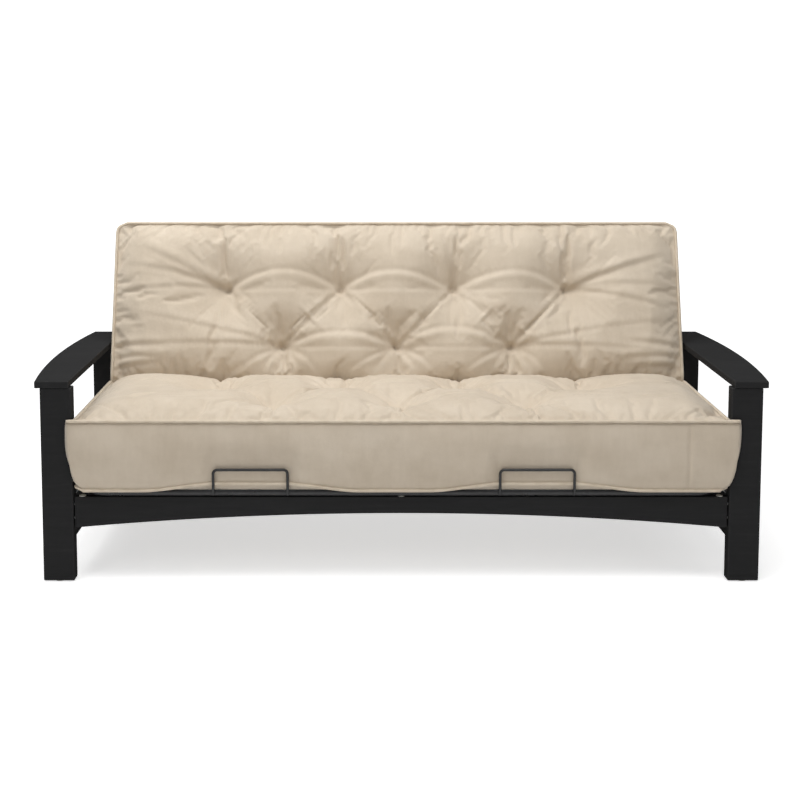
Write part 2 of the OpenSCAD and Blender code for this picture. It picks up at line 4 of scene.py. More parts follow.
import bpy
import numpy as np
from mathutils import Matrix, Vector


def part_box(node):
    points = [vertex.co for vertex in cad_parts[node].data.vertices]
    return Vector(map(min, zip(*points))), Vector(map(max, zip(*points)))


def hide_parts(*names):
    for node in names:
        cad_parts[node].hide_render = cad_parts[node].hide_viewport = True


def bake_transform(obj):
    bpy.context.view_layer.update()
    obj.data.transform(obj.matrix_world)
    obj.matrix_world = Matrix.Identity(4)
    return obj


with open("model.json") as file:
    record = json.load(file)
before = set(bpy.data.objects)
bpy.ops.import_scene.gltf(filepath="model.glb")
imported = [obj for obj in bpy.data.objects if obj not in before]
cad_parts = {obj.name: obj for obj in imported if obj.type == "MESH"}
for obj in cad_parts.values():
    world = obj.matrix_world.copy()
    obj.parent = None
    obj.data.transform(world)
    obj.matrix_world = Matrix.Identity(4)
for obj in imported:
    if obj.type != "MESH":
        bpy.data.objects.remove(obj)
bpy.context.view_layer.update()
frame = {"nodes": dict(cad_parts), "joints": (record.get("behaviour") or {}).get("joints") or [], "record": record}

# ---------------------------------------------------------------- the frame's facts
RECORD = frame["record"]
FOLD = next(j for j in frame["joints"] if j["name"] == "back_fold")
HINGE_Y, HINGE_Z = FOLD["pos_m"][1], FOLD["pos_m"][2]
FOLD_ANGLE = math.radians(FOLD["range_deg"][1])
LEG_LO, LEG_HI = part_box("front_leg_right")
DECK_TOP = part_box("mattress_seat")[0].z - HINGE_Z   # underside of the mattress above the hinge
LEG_FACE_V = HINGE_Y - LEG_LO.y                 # front faces of the legs, from the hinge
BISECT = (math.pi - FOLD_ANGLE) / 2             # crease plane's slope out of either deck half
COS_B, SIN_B = math.cos(BISECT), math.sin(BISECT)
RECLINE = math.pi / 2 - FOLD_ANGLE

# ---------------------------------------------------------------- the mattress, metres
HALF_W = 0.9185          # seams' distance from the middle
TOP_H = 0.205            # top seam above the hinge level
LOW_H = DECK_TOP + 0.003
SEAT_END = 0.722         # front seam from the hinge
BACK_END = 0.668         # top seam from the hinge
PITCH = 0.0105           # cell of the cloth grid
LIP_R = 0.040            # roll of the fabric into the crease
CREASE_HALF = 0.003      # half of the gap in the crease
CREASE_DEPTH = 0.203     # bottom of the crease from the hinge
HIDDEN_ROWS = 8
SIDE_LEVELS = 14
SIM_FRAMES = 30
MOST_MOVE = 0.030        # cap on how far the simulation moves a point
TUBE_SIDES = 8
CORNER_R = {"seat": 0.010, "back": 0.030}
TUFT_H = {"seat": 0.174, "back": 0.162}
SEAT_TUFTS = [(0.157, (-0.37, 0.0, 0.37)), (0.333, (-0.555, -0.185, 0.185, 0.555)),
              (0.524, (-0.37, 0.0, 0.37))]
BACK_TUFTS = [(0.452, (-0.555, -0.185, 0.185, 0.555)), (0.262, (-0.37, 0.0, 0.37))]
PIPING_R = 0.0048
PIPING_OUT, PIPING_UP = 0.0026, 0.0018   # cord's middle, out from and above the seam
FOLD_CAP = 0.012         # most that the folds add up to
SPREAD_LEFT, SPREAD_RIGHT = 0.036, 0.046   # swell of the front corners past the legs
FRONT_SEAM_X = 0.81      # seam that joins the ends of the boxing
SEAM_DEEP, SEAM_HALF = 0.0045, 0.0045
TUCK_POWER = 5           # the front corners tuck in only close to the bottom seam
RETAINERS = [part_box("retainer_left"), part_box("retainer_right")]


def smooth(x):
    x = np.clip(x, 0.0, 1.0)
    return x * x * (3 - 2 * x)


def to_world(part, x, v, h):
    """Deck coordinates (v away from the hinge, h out of the sleeping face) to the row frame."""
    x, v, h = np.broadcast_arrays(x, v, h)
    if part == "seat":
        return np.stack([x, HINGE_Y - v, HINGE_Z + h], -1)
    s, c = math.sin(RECLINE), math.cos(RECLINE)
    return np.stack([x, HINGE_Y + s * v - c * h, HINGE_Z + c * v + s * h], -1)


def half_profile(end):
    """Rows of one half from its outer seam to the crease bottom: v, h, lower v, lower h."""
    centre_h = TOP_H - LIP_R
    centre_v = (CREASE_HALF + LIP_R + centre_h * COS_B) / SIN_B
    flat = max(4, int(round((end - centre_v) / PITCH)))
    rows = [(end + (centre_v - end) * k / flat, TOP_H) for k in range(flat)]
    for k in range(5):
        a = math.pi / 2 + BISECT * k / 4
        rows.append((centre_v + LIP_R * math.cos(a), centre_h + LIP_R * math.sin(a)))
    lip_t = rows[-1][0] * COS_B + rows[-1][1] * SIN_B
    first_hidden = len(rows)
    gaps = []
    for k in range(1, HIDDEN_ROWS + 1):
        share = 0.5 * k / HIDDEN_ROWS
        u = 0.5 - math.sin(math.asin(1 - 2 * share) / 3)
        gap = CREASE_HALF * (1 - 2 * u)
        t = lip_t + (CREASE_DEPTH - lip_t) * k / HIDDEN_ROWS
        rows.append((t * COS_B + gap * SIN_B, t * SIN_B - gap * COS_B))
        gaps.append(gap)
    low = []
    foot = LOW_H / SIN_B
    for k, (v, h) in enumerate(rows):
        if k < first_hidden:
            reach = (v - rows[first_hidden - 1][0]) / (0.30 - rows[first_hidden - 1][0])
            start = foot * COS_B + CREASE_HALF * SIN_B
            low.append((v if reach > 1 else start + reach * (0.30 - start), LOW_H))
        else:
            gap = gaps[k - first_hidden]
            low.append((foot * COS_B + gap * SIN_B, LOW_H - gap * COS_B))
    return np.array(rows), np.array(low), first_hidden


def tuft_field(part, x, v, width):
    """1 at a tuft, falling to 0 away from it."""
    field = np.zeros(np.broadcast(x, v).shape)
    for tv, xs in (SEAT_TUFTS if part == "seat" else BACK_TUFTS):
        for tx in xs:
            r = np.hypot(x - tx, v - tv)
            field = np.maximum(field, np.exp(-(np.hypot(r, 0.006) - 0.006) / width))
    return field


def waves(x, v, seed):
    """Smooth seeded unevenness, about -1 to 1."""
    rng = np.random.default_rng(seed)
    out = np.zeros(np.broadcast(x, v).shape)
    for _ in range(9):
        fx, fv = rng.uniform(-14, 14), rng.uniform(-14, 14)
        out = out + np.sin(fx * x + fv * v + rng.uniform(0, 6.28)) / 3.2
    return out


def half_width(part, v, end):
    """Half width of the top and bottom outlines at v, with rounded corners at the end."""
    r = CORNER_R[part]
    into = np.clip(r - (end - v), 0, r)
    return HALF_W - (r - np.sqrt(r ** 2 - into ** 2))


def top_sheet():
    """The sleeping face in the sofa position: points [row, column, 3] and what holds each."""
    columns = int(round(2 * HALF_W / PITCH))
    share = np.linspace(-1, 1, columns + 1)
    points, pinned, part_of, deck = [], [], [], []
    for part, end in (("seat", SEAT_END), ("back", BACK_END)):
        rows, low, first_hidden = half_profile(end)
        order = range(len(rows)) if part == "seat" else range(len(rows) - 2, -1, -1)
        for k in order:
            v, h = rows[k]
            x = share * half_width(part, v, end)
            edge = np.minimum(HALF_W - np.abs(x), end - v)
            shown = k < first_hidden
            rise = smooth(edge / 0.11) * (0.017 if part == "seat" else 0.015)
            near_lip = smooth((v - 0.150) / 0.08) if shown else 0.0
            dimple = tuft_field(part, x, v, 0.046) * (TOP_H - TUFT_H[part] + rise)
            height = h + (rise - dimple) * near_lip if shown else np.full_like(x, h)
            height = height + near_lip * 0.0018 * waves(x * 2.4, v * 2.4, 5) * smooth(edge / 0.05)
            points.append(to_world(part, x, v, height))
            pinned.append(np.where((np.abs(share) > 0.9999) | (not shown) | (k == 0), 1.0, 0.0))
            part_of.append(part)
            deck.append((v, h, low[k][0], low[k][1], k, shown))
    points, pinned = np.array(points), np.array(pinned)
    for row, (part, facts) in enumerate(zip(part_of, deck)):
        for tv, xs in (SEAT_TUFTS if part == "seat" else BACK_TUFTS):
            if abs(facts[0] - tv) < PITCH * 0.5 and facts[5]:
                for tx in xs:
                    column = int(np.argmin(np.abs(points[row, :, 0] - tx)))
                    pinned[row, column] = 1.0
                    points[row, column] = to_world(part, points[row, column, 0], facts[0],
                                                   TUFT_H[part])
    return points, pinned, part_of, deck, share


def grid_faces(rows, columns, start=0, flip=False):
    faces = []
    for r in range(rows - 1):
        for c in range(columns - 1):
            a = start + r * columns + c
            quad = (a, a + 1, a + columns + 1, a + columns)
            faces.append(quad[::-1] if flip else quad)
    return faces


def new_mesh(name, points, faces):
    mesh = bpy.data.meshes.new(name)
    mesh.from_pydata([tuple(p) for p in points], [], faces)
    mesh.update()
    obj = bpy.data.objects.new(name, mesh)
    bpy.context.scene.collection.objects.link(obj)
    return obj


def puff(points, pinned):
    """Blows the pinned sheet up as cloth: slack gathers round the tufts and along the seams."""
    rows, columns = pinned.shape
    obj = new_mesh("sheet_sim", points.reshape(-1, 3), grid_faces(rows, columns))
    group = obj.vertex_groups.new(name="held")
    flat = pinned.ravel()
    for weight in np.unique(flat[flat > 0]):
        group.add([int(i) for i in np.nonzero(flat == weight)[0]], float(weight), "REPLACE")
    cloth = obj.modifiers.new("cloth", "CLOTH")
    s = cloth.settings
    s.quality = 6
    s.mass = 0.15
    s.tension_stiffness = s.compression_stiffness = 22
    s.shear_stiffness = 6
    s.bending_stiffness = 0.03
    s.tension_damping = s.compression_damping = s.shear_damping = 6
    s.bending_damping = 0.4
    s.air_damping = 1.0
    s.vertex_group_mass = "held"
    s.pin_stiffness = 1.0
    s.shrink_min = -0.045
    s.use_pressure = True
    s.uniform_pressure_force = 5.0
    s.effector_weights.gravity = 0
    cloth.collision_settings.use_collision = False
    cloth.collision_settings.use_self_collision = False
    scene = bpy.context.scene
    scene.frame_start, scene.frame_end = 1, SIM_FRAMES + 10
    cloth.point_cache.frame_start, cloth.point_cache.frame_end = 1, SIM_FRAMES + 10
    for f in range(1, SIM_FRAMES + 1):
        scene.frame_set(f)
    evaluated = obj.evaluated_get(bpy.context.evaluated_depsgraph_get())
    out = np.zeros(len(evaluated.data.vertices) * 3)
    evaluated.data.vertices.foreach_get("co", out)
    scene.frame_set(1)
    bpy.data.objects.remove(obj)
    return out.reshape(rows, columns, 3)


def to_deck(part, p):
    """Row frame to deck coordinates: x, v, h."""
    y, z = p[..., 1] - HINGE_Y, p[..., 2] - HINGE_Z
    if part == "seat":
        return p[..., 0], -y, z
    s, c = math.sin(RECLINE), math.cos(RECLINE)
    return p[..., 0], s * y + c * z, -c * y + s * z


def hold_crease(part, p, shown):
    """Keeps a half's fabric on its own side of the crease plane."""
    if not shown:
        return p
    x, v, h = to_deck(part, p)
    short = np.clip(CREASE_HALF * 1.02 - (v * SIN_B - h * COS_B), 0, None)
    return to_world(part, x, v + short * SIN_B, h - short * COS_B)


def retainer_press(x, h, reach=0.040):
    """1 where a retainer loop presses on the front, falling to 0 round it."""
    out = np.zeros(np.broadcast(x, h).shape)
    for lo, hi in RETAINERS:
        side = smooth((reach - np.maximum(np.maximum(lo.x - x, x - hi.x), 0)) / reach)
        over = smooth((0.075 - np.maximum(h - (hi.z - HINGE_Z), 0)) / 0.075)
        out = np.maximum(out, side * over)
    return out


def front_spread(x, v):
    """The seat's front corners swell past the legs once they are in front of them."""
    ahead = smooth((v - LEG_FACE_V - 0.001) / 0.006)
    corner = smooth((np.abs(x) - (HALF_W - 0.09)) / 0.09)
    return x + np.where(x > 0, SPREAD_RIGHT, -SPREAD_LEFT) * ahead * corner


def fold_lines(part):
    """Folds of the cover: start, control and end of each curve in (x, v), depth, width, ridge.

    The ridge lies to the right of the way from start to end. Most run from tuft to tuft, and
    the rest from a tuft to a seam. The last number is 1 for a fold that both ends hold."""
    rng = np.random.default_rng(21 if part == "back" else 22)
    rows = BACK_TUFTS if part == "back" else SEAT_TUFTS
    end = BACK_END if part == "back" else SEAT_END
    size = 1.0 if part == "back" else 0.8
    folds = []
    for tv, xs in rows:
        inner = tv < 0.2 or (part == "back" and tv < 0.3)
        rise = 0.052 if part == "back" else 0.030
        for x0, x1 in zip(xs, xs[1:]):
            lift = rise * rng.uniform(0.8, 1.2)
            slip = rng.uniform(-0.035, 0.035)
            folds.append(((x0, tv), ((x0 + x1) / 2 + slip, tv + 2 * lift), (x1, tv),
                          0.0072 * size * (1.25 if inner else 1.0), 0.010, 0.0080 * size, 1))
            folds.append(((x0, tv), ((x0 + x1) / 2, tv - 0.012), (x1, tv),
                          0.0030 * size, 0.007, 0.0020 * size, 1))
        for sign, x in ((-1, xs[0]), (1, xs[-1])):
            seam = sign * (HALF_W - 0.01)
            for dv, bend in ((rng.uniform(-0.04, 0.0), 0.02), (rng.uniform(0.07, 0.13), 0.03)):
                folds.append(((x, tv), ((x + seam) / 2, tv + dv * 0.4 + bend),
                              (seam, tv + dv), 0.0052 * size, 0.009, 0.0050 * size * -sign, 0))
    for (va, xa), (vb, xb) in zip(rows, rows[1:]):
        for x0 in xa:
            for x1 in xb:
                if abs(x0 - x1) < 0.2:
                    for side in (-1, 1):
                        off = side * rng.uniform(0.010, 0.020)
                        folds.append(((x0, va), ((x0 + x1) / 2 + off, (va + vb) / 2 + off * 0.5),
                                      (x1, vb), 0.0056 * size, 0.0075, 0.0050 * size * side, 1))
    outer = rows[0] if part == "back" else rows[-1]
    for x in outer[1]:
        for lean in (-0.035, 0.022):
            tip = x + lean * rng.uniform(0.6, 1.5)
            folds.append(((x, outer[0]), (x + lean * 0.2, (outer[0] + end) / 2), (tip, end - 0.012),
                          0.0058 * size, 0.009, 0.0046 * size * np.sign(lean), 0))
    if part == "back":
        folds.append(((-0.555, 0.452), (-0.70, 0.520), (-0.86, 0.598), 0.0085, 0.011, 0.0110, 0))
        folds.append(((-0.555, 0.452), (-0.68, 0.480), (-0.83, 0.560), 0.0050, 0.010, 0.0070, 0))
        folds.append(((0.555, 0.452), (0.70, 0.500), (0.90, 0.560), 0.0080, 0.012, -0.0090, 0))
        folds.append(((0.555, 0.452), (0.72, 0.430), (0.90, 0.370), 0.0070, 0.010, -0.0070, 0))
        for x in (-0.37, 0.0, 0.37):
            for lean in (-0.14, -0.07, 0.06, 0.13):
                tip = x + lean * rng.uniform(0.8, 1.3)
                folds.append(((x, 0.262), (x + lean * 0.7, 0.235), (tip, 0.165),
                              0.0050, 0.008, 0.0045 * np.sign(lean), 0))
        for sign in (-1, 1):
            for v in (0.190, 0.222, 0.258):
                folds.append(((sign * 0.915, v), (sign * 0.82, v + 0.012),
                              (sign * (0.70 + rng.uniform(0, 0.06)), v + rng.uniform(-0.01, 0.02)),
                              0.0070, 0.009, 0.0065 * sign, 0))
    else:
        for x in (-0.77, -0.21, 0.17, 0.74):
            folds.append(((x, 0.60), (x + 0.05, 0.56), (x + 0.11, 0.555), 0.0045, 0.012, 0.004, 0))
        for sign in (-1, 1):
            for v in (0.20, 0.235, 0.275):
                folds.append(((sign * 0.915, v), (sign * 0.84, v + 0.01), (sign * 0.74, v),
                              0.0055, 0.009, 0.0050 * sign, 0))
    return folds


def fold_height(part, x, v):
    """Height that the folds add at points of one half's cover."""
    out = np.zeros(x.shape)
    for start, control, end, depth, width, ridge, held in fold_lines(part):
        t = np.linspace(0, 1, 33)[:, None]
        curve = ((1 - t) ** 2 * np.array(start) + 2 * t * (1 - t) * np.array(control)
                 + t ** 2 * np.array(end))
        lo, hi = curve.min(0) - 5 * width, curve.max(0) + 5 * width
        inside = (x > lo[0]) & (x < hi[0]) & (v > lo[1]) & (v < hi[1])
        if not inside.any():
            continue
        p = np.stack([x[inside], v[inside]], -1)
        away = p[:, None, :] - curve[None]
        nearest = np.argmin((away ** 2).sum(-1), axis=1)
        tangent = unit(np.gradient(curve, axis=0))[nearest]
        delta = away[np.arange(len(p)), nearest]
        across = tangent[:, 0] * delta[:, 1] - tangent[:, 1] * delta[:, 0]
        along = np.abs(tangent[:, 0] * delta[:, 0] + tangent[:, 1] * delta[:, 1])
        share = t[nearest, 0]
        strength = 0.45 + 0.55 * np.abs(2 * share - 1) if held else (1 - share) ** 0.8
        strength = strength * np.exp(-(along / width) ** 2)
        side = -np.sign(ridge)
        out[inside] += strength * (abs(ridge) * np.exp(-((across - side * 1.7 * width)
                                                         / (1.5 * width)) ** 2)
                                   - depth * np.exp(-(across / width) ** 2))
    calm = 1 - tuft_field(part, x, v, 0.011)
    return FOLD_CAP * np.tanh(out * calm / FOLD_CAP)


def finer(a, axis):
    """Doubles a grid along one axis, with smooth midpoints."""
    a = np.moveaxis(a, axis, 0)
    mid = (a[:-1] + a[1:]) / 2
    mid[1:-1] = (9 * (a[1:-2] + a[2:-1]) - (a[:-3] + a[3:])) / 16
    out = np.empty((2 * len(a) - 1,) + a.shape[1:])
    out[0::2], out[1::2] = a, mid
    return np.moveaxis(out, 0, axis)


def finer_rows(part_of, deck):
    """The rows' facts for a grid doubled along its rows."""
    parts, facts = [], []
    for r in range(len(deck)):
        parts.append(part_of[r])
        facts.append(deck[r])
        if r + 1 < len(deck):
            a, b = deck[r], deck[r + 1]
            parts.append(part_of[r])
            middle = [(p + q) / 2 for p, q in zip(a[:4], b[:4])]
            facts.append((*middle, a[4], a[5] and b[5]))
    return parts, facts


def build_mattress():
    points, pinned, part_of, deck, share = top_sheet()
    start = points.copy()
    points = puff(points, pinned)
    move = points - start
    far = np.linalg.norm(move, axis=-1, keepdims=True)
    points = start + move * np.minimum(1.0, MOST_MOVE / np.maximum(far, 1e-9))
    points = finer(finer(points, 0), 1)
    share = np.linspace(-1, 1, points.shape[1])
    part_of, deck = finer_rows(part_of, deck)
    for part in ("seat", "back"):
        mine = np.array([p == part and d[5] for p, d in zip(part_of, deck)])
        x, v, h = to_deck(part, points[mine])
        end = SEAT_END if part == "seat" else BACK_END
        edge = smooth(np.minimum(half_width(part, v, end) - np.abs(x), end - v) / 0.02)
        ease = edge * smooth((v - 0.135) / 0.05)
        points[mine] = to_world(part, x, v, h + ease * fold_height(part, x, v))
    for r in range(len(points)):
        points[r] = hold_crease(part_of[r], points[r], deck[r][5])
    return points, part_of, deck, share


def low_point(part, x, v, h):
    """Bottom seam or bottom sheet: it droops at the front corners, and lifts at the retainers."""
    h = np.broadcast_to(h, np.broadcast(x, v).shape).copy()
    if part == "seat":
        near = smooth((v - (LEG_FACE_V - 0.004)) / 0.008)
        h = h + near * (-0.009 + 0.018 * retainer_press(x, np.zeros_like(h) + 0.02, 0.20))
        x = x - np.sign(x) * 0.020 * near * smooth((np.abs(x) - 0.80) / 0.12)
        v = v - 0.004 * near
    return to_world(part, x, v, h)


def side_wall(points, part_of, deck, column, sign):
    """Boxing on one side, [row, level, 3], between the seams."""
    levels = np.linspace(0, 1, SIDE_LEVELS + 1)
    out = []
    for r, part in enumerate(part_of):
        end = SEAT_END if part == "seat" else BACK_END
        v, _, low_v, low_h = deck[r][:4]
        low = low_point(part, np.array([sign * half_width(part, min(v, end), end)]),
                        np.array([low_v]), low_h)[0]
        top = points[r, column]
        line = top[None, :] + (low - top)[None, :] * levels[:, None]
        line[:, 0] = top[0] + (low[0] - top[0]) * levels ** TUCK_POWER
        swell = np.sin(math.pi * levels) ** 0.7
        near = math.exp(-max(low_v - 0.02, 0) / 0.16)
        pleat = near * 0.5 * (1 + math.sin(v * 210 + 0.6)) * 0.006
        x_bulge = (0.0072 - pleat) * swell
        x_bulge = x_bulge + 0.0012 * np.sin(levels * 9 + v * 31) * swell
        line[:, 0] += sign * x_bulge
        out.append(line)
    return np.array(out)


def end_wall(points, part, deck, row):
    """Boxing across the seat's front or the back's top, [level, column, 3]."""
    levels = np.linspace(0, 1, SIDE_LEVELS + 1)
    low_v, low_h = deck[row][2:4]
    top = points[row]
    low = low_point(part, top[:, 0].copy(), np.full(len(top), low_v), low_h)
    out = []
    for a in levels:
        line = top + (low - top) * a
        line[:, 0] = top[:, 0] + (low[:, 0] - top[:, 0]) * a ** TUCK_POWER
        x, lv, lh = to_deck(part, line)
        swell = math.sin(math.pi * a) ** 0.6
        corner = smooth((HALF_W - np.abs(top[:, 0])) / 0.05)
        if part == "seat":
            lv = lv + 0.0135 * swell * (0.35 + 0.65 * corner)
            lv = lv + 0.0022 * swell * waves(x * 1.6, lh * 2.0, 11)
            lv = lv - SEAM_DEEP * swell * np.exp(-((x - FRONT_SEAM_X) / SEAM_HALF) ** 2)
            lv = lv + 0.0018 * swell * np.exp(-((x - FRONT_SEAM_X - 0.014) / 0.008) ** 2)
            press = retainer_press(x, lh)
            room = LEG_FACE_V - 0.0035
            lv = np.where(lv > room, room + (lv - room) * (1 - press), lv)
        else:
            lv = lv + 0.0030 * swell * (0.4 + 0.6 * corner) + 0.001 * swell * waves(x, lh, 12)
        out.append(to_world(part, x, lv, lh))
    return np.array(out)


def tube(path, e1, e2, radius):
    """A closed tube round a path with given section axes."""
    n, sides = len(path), TUBE_SIDES
    points = []
    for k in range(sides):
        a = 2 * math.pi * k / sides
        points.append(path + radius * (math.cos(a) * e1 + math.sin(a) * e2))
    points = np.array(points).transpose(1, 0, 2).reshape(-1, 3)
    faces = []
    for i in range(n):
        j = (i + 1) % n
        for k in range(sides):
            m = (k + 1) % sides
            faces.append((i * sides + k, i * sides + m, j * sides + m, j * sides + k))
    return points, faces


def unit(a):
    return a / np.maximum(np.linalg.norm(a, axis=-1, keepdims=True), 1e-9)


# ---------------------------------------------------------------- materials
def node_material(name):
    mat = bpy.data.materials.new(name)
    mat.use_nodes = True
    tree = mat.node_tree
    shader = tree.nodes["Principled BSDF"]
    return mat, tree, shader


def add(tree, kind, **values):
    node = tree.nodes.new(kind)
    for key, value in values.items():
        if key in node.inputs:
            node.inputs[key].default_value = value
        else:
            setattr(node, key, value)
    return node


def noise(tree, coords, scale, detail=3.0, stretch=(1, 1, 1), roughness=0.5):
    mapping = add(tree, "ShaderNodeMapping")
    mapping.inputs["Scale"].default_value = stretch
    tree.links.new(coords, mapping.inputs["Vector"])
    n = add(tree, "ShaderNodeTexNoise", Scale=scale, Detail=detail, Roughness=roughness)
    tree.links.new(mapping.outputs["Vector"], n.inputs["Vector"])
    return n.outputs["Fac"]


def ramp(tree, factor, stops):
    node = add(tree, "ShaderNodeValToRGB")
    while len(node.color_ramp.elements) < len(stops):
        node.color_ramp.elements.new(0.5)
    for element, (place, colour) in zip(node.color_ramp.elements, stops):
        element.position = place
        element.color = (*colour, 1.0) if len(colour) == 3 else colour
    tree.links.new(factor, node.inputs["Fac"])
    return node.outputs["Color"]


def grey(value):
    return (value, value, value)


def bump(tree, shader, height, strength, distance, before=None):
    node = add(tree, "ShaderNodeBump", Strength=strength, Distance=distance)
    tree.links.new(height, node.inputs["Height"])
    if before is not None:
        tree.links.new(before, node.inputs["Normal"])
    tree.links.new(node.outputs["Normal"], shader.inputs["Normal"])
    return node.outputs["Normal"]


def coords_of(tree):
    return add(tree, "ShaderNodeTexCoord").outputs["Object"]


def fabric_material():
    """Brushed microfibre twill: fine diagonal ribs under a soft, mottled nap."""
    mat, tree, shader = node_material("mattress_fabric")
    coords = coords_of(tree)
    patches = noise(tree, coords, 5.5, 4.0, (1.0, 1.6, 1.6), 0.62)
    strokes = noise(tree, coords, 42.0, 3.0, (1.0, 0.5, 0.35), 0.6)
    mixed = add(tree, "ShaderNodeMath", operation="ADD")
    scaled = add(tree, "ShaderNodeMath", operation="MULTIPLY")
    tree.links.new(strokes, scaled.inputs[0])
    scaled.inputs[1].default_value = 0.45
    tree.links.new(patches, mixed.inputs[0])
    tree.links.new(scaled.outputs[0], mixed.inputs[1])
    colour = ramp(tree, mixed.outputs[0], [(0.50, (0.570, 0.483, 0.376)),
                                           (0.72, (0.612, 0.524, 0.415)),
                                           (0.95, (0.655, 0.567, 0.456))])
    tree.links.new(colour, shader.inputs["Base Color"])
    rough = ramp(tree, strokes, [(0.3, grey(0.78)), (0.7, grey(0.94))])
    tree.links.new(rough, shader.inputs["Roughness"])
    shader.inputs["Sheen Weight"].default_value = 0.36
    shader.inputs["Sheen Roughness"].default_value = 0.45
    shader.inputs["Sheen Tint"].default_value = (1.0, 0.95, 0.88, 1.0)
    shader.inputs["Specular IOR Level"].default_value = 0.25
    twill = add(tree, "ShaderNodeTexWave", Scale=520.0, Distortion=1.2, Detail=2.0)
    twill.bands_direction = "DIAGONAL"
    tree.links.new(coords, twill.inputs["Vector"])
    ribs = bump(tree, shader, twill.outputs["Fac"], 0.25, 0.0004)
    fibres = noise(tree, coords, 260.0, 2.0)
    fine = bump(tree, shader, fibres, 0.30, 0.0010, ribs)
    creases = noise(tree, coords, 26.0, 3.0, (1.0, 1.0, 1.0), 0.55)
    bump(tree, shader, creases, 0.16, 0.010, fine)
    return mat


def piping_material():
    """The same cloth, cut on the bias and drawn tight over a cord."""
    mat, tree, shader = node_material("piping_fabric")
    coords = coords_of(tree)
    colour = ramp(tree, noise(tree, coords, 30.0, 3.0), [(0.3, (0.60, 0.505, 0.385)),
                                                         (0.7, (0.70, 0.605, 0.478))])
    tree.links.new(colour, shader.inputs["Base Color"])
    shader.inputs["Roughness"].default_value = 0.85
    shader.inputs["Sheen Weight"].default_value = 0.3
    twill = add(tree, "ShaderNodeTexWave", Scale=330.0, Distortion=0.6, Detail=1.0)
    twill.bands_direction = "DIAGONAL"
    tree.links.new(coords, twill.inputs["Vector"])
    bump(tree, shader, twill.outputs["Fac"], 0.35, 0.0006)
    return mat


def wood_material():
    """Black lacquered wood: satin, with the grain just showing through and a painted highlight that lightens the
    edges.
    """
    mat, tree, shader = node_material("black_wood_paint")
    coords = coords_of(tree)
    grain = noise(tree, coords, 9.0, 6.0, (0.8, 7.0, 9.0), 0.62)
    cloud = noise(tree, coords, 3.0, 2.0)
    colour = ramp(tree, grain, [(0.25, (0.0250, 0.0250, 0.0255)), (0.60, (0.0280, 0.0280, 0.0285)),
                                (0.85, (0.0335, 0.0332, 0.0335))])
    # Painted highlight: where the bevelled normal turns away from the face's normal, the colour is mixed toward a
    # lighter grey, so the edges look lit.
    edge = add(tree, "ShaderNodeBevel", Radius=0.004)
    edge.samples = 4
    geometry = add(tree, "ShaderNodeNewGeometry")
    differ = add(tree, "ShaderNodeVectorMath", operation="DOT_PRODUCT")
    tree.links.new(edge.outputs["Normal"], differ.inputs[0])
    tree.links.new(geometry.outputs["Normal"], differ.inputs[1])
    edge_highlight_paint = ramp(tree, differ.outputs["Value"], [(0.86, grey(1.0)), (0.985, grey(0.0))])
    mix = add(tree, "ShaderNodeMix", data_type="RGBA")
    tree.links.new(edge_highlight_paint, mix.inputs["Factor"])
    tree.links.new(colour, mix.inputs["A"])
    mix.inputs["B"].default_value = (0.055, 0.054, 0.054, 1.0)
    tree.links.new(mix.outputs["Result"], shader.inputs["Base Color"])
    rough = ramp(tree, cloud, [(0.3, grey(0.46)), (0.7, grey(0.58))])
    tree.links.new(rough, shader.inputs["Roughness"])
    shader.inputs["Specular IOR Level"].default_value = 0.004
    pores = bump(tree, shader, grain, 0.10, 0.0012)
    bump(tree, shader, noise(tree, coords, 320.0, 2.0), 0.08, 0.0004, pores)
    return mat


def steel_paint_material():
    """Black powder coat on tube: satin with a fine orange peel."""
    mat, tree, shader = node_material("black_steel_coat")
    coords = coords_of(tree)
    speck = noise(tree, coords, 60.0, 3.0)
    colour = ramp(tree, speck, [(0.3, (0.008, 0.008, 0.009)), (0.75, (0.017, 0.017, 0.018))])
    tree.links.new(colour, shader.inputs["Base Color"])
    rough = ramp(tree, noise(tree, coords, 14.0, 3.0), [(0.3, grey(0.26)), (0.7, grey(0.40))])
    tree.links.new(rough, shader.inputs["Roughness"])
    shader.inputs["Coat Weight"].default_value = 0.25
    shader.inputs["Coat Roughness"].default_value = 0.2
    bump(tree, shader, noise(tree, coords, 420.0, 2.0), 0.12, 0.0005)
    return mat


def zinc_material():
    """Bright zinc-plated steel, brushed and slightly clouded."""
    mat, tree, shader = node_material("zinc_plate")
    coords = coords_of(tree)
    colour = ramp(tree, noise(tree, coords, 45.0, 4.0), [(0.3, (0.50, 0.51, 0.53)),
                                                         (0.7, (0.66, 0.67, 0.68))])
    tree.links.new(colour, shader.inputs["Base Color"])
    shader.inputs["Metallic"].default_value = 1.0
    brushed = noise(tree, coords, 90.0, 3.0, (0.15, 3.0, 3.0))
    rough = ramp(tree, brushed, [(0.3, grey(0.26)), (0.7, grey(0.42))])
    tree.links.new(rough, shader.inputs["Roughness"])
    bump(tree, shader, brushed, 0.12, 0.0004)
    return mat


def nylon_material():
    """Moulded natural nylon: off-white, a little uneven and translucent-looking."""
    mat, tree, shader = node_material("nylon_mould")
    coords = coords_of(tree)
    colour = ramp(tree, noise(tree, coords, 70.0, 3.0), [(0.3, (0.66, 0.64, 0.57)),
                                                         (0.7, (0.76, 0.74, 0.68))])
    tree.links.new(colour, shader.inputs["Base Color"])
    shader.inputs["Roughness"].default_value = 0.48
    bump(tree, shader, noise(tree, coords, 300.0, 2.0), 0.12, 0.0004)
    return mat


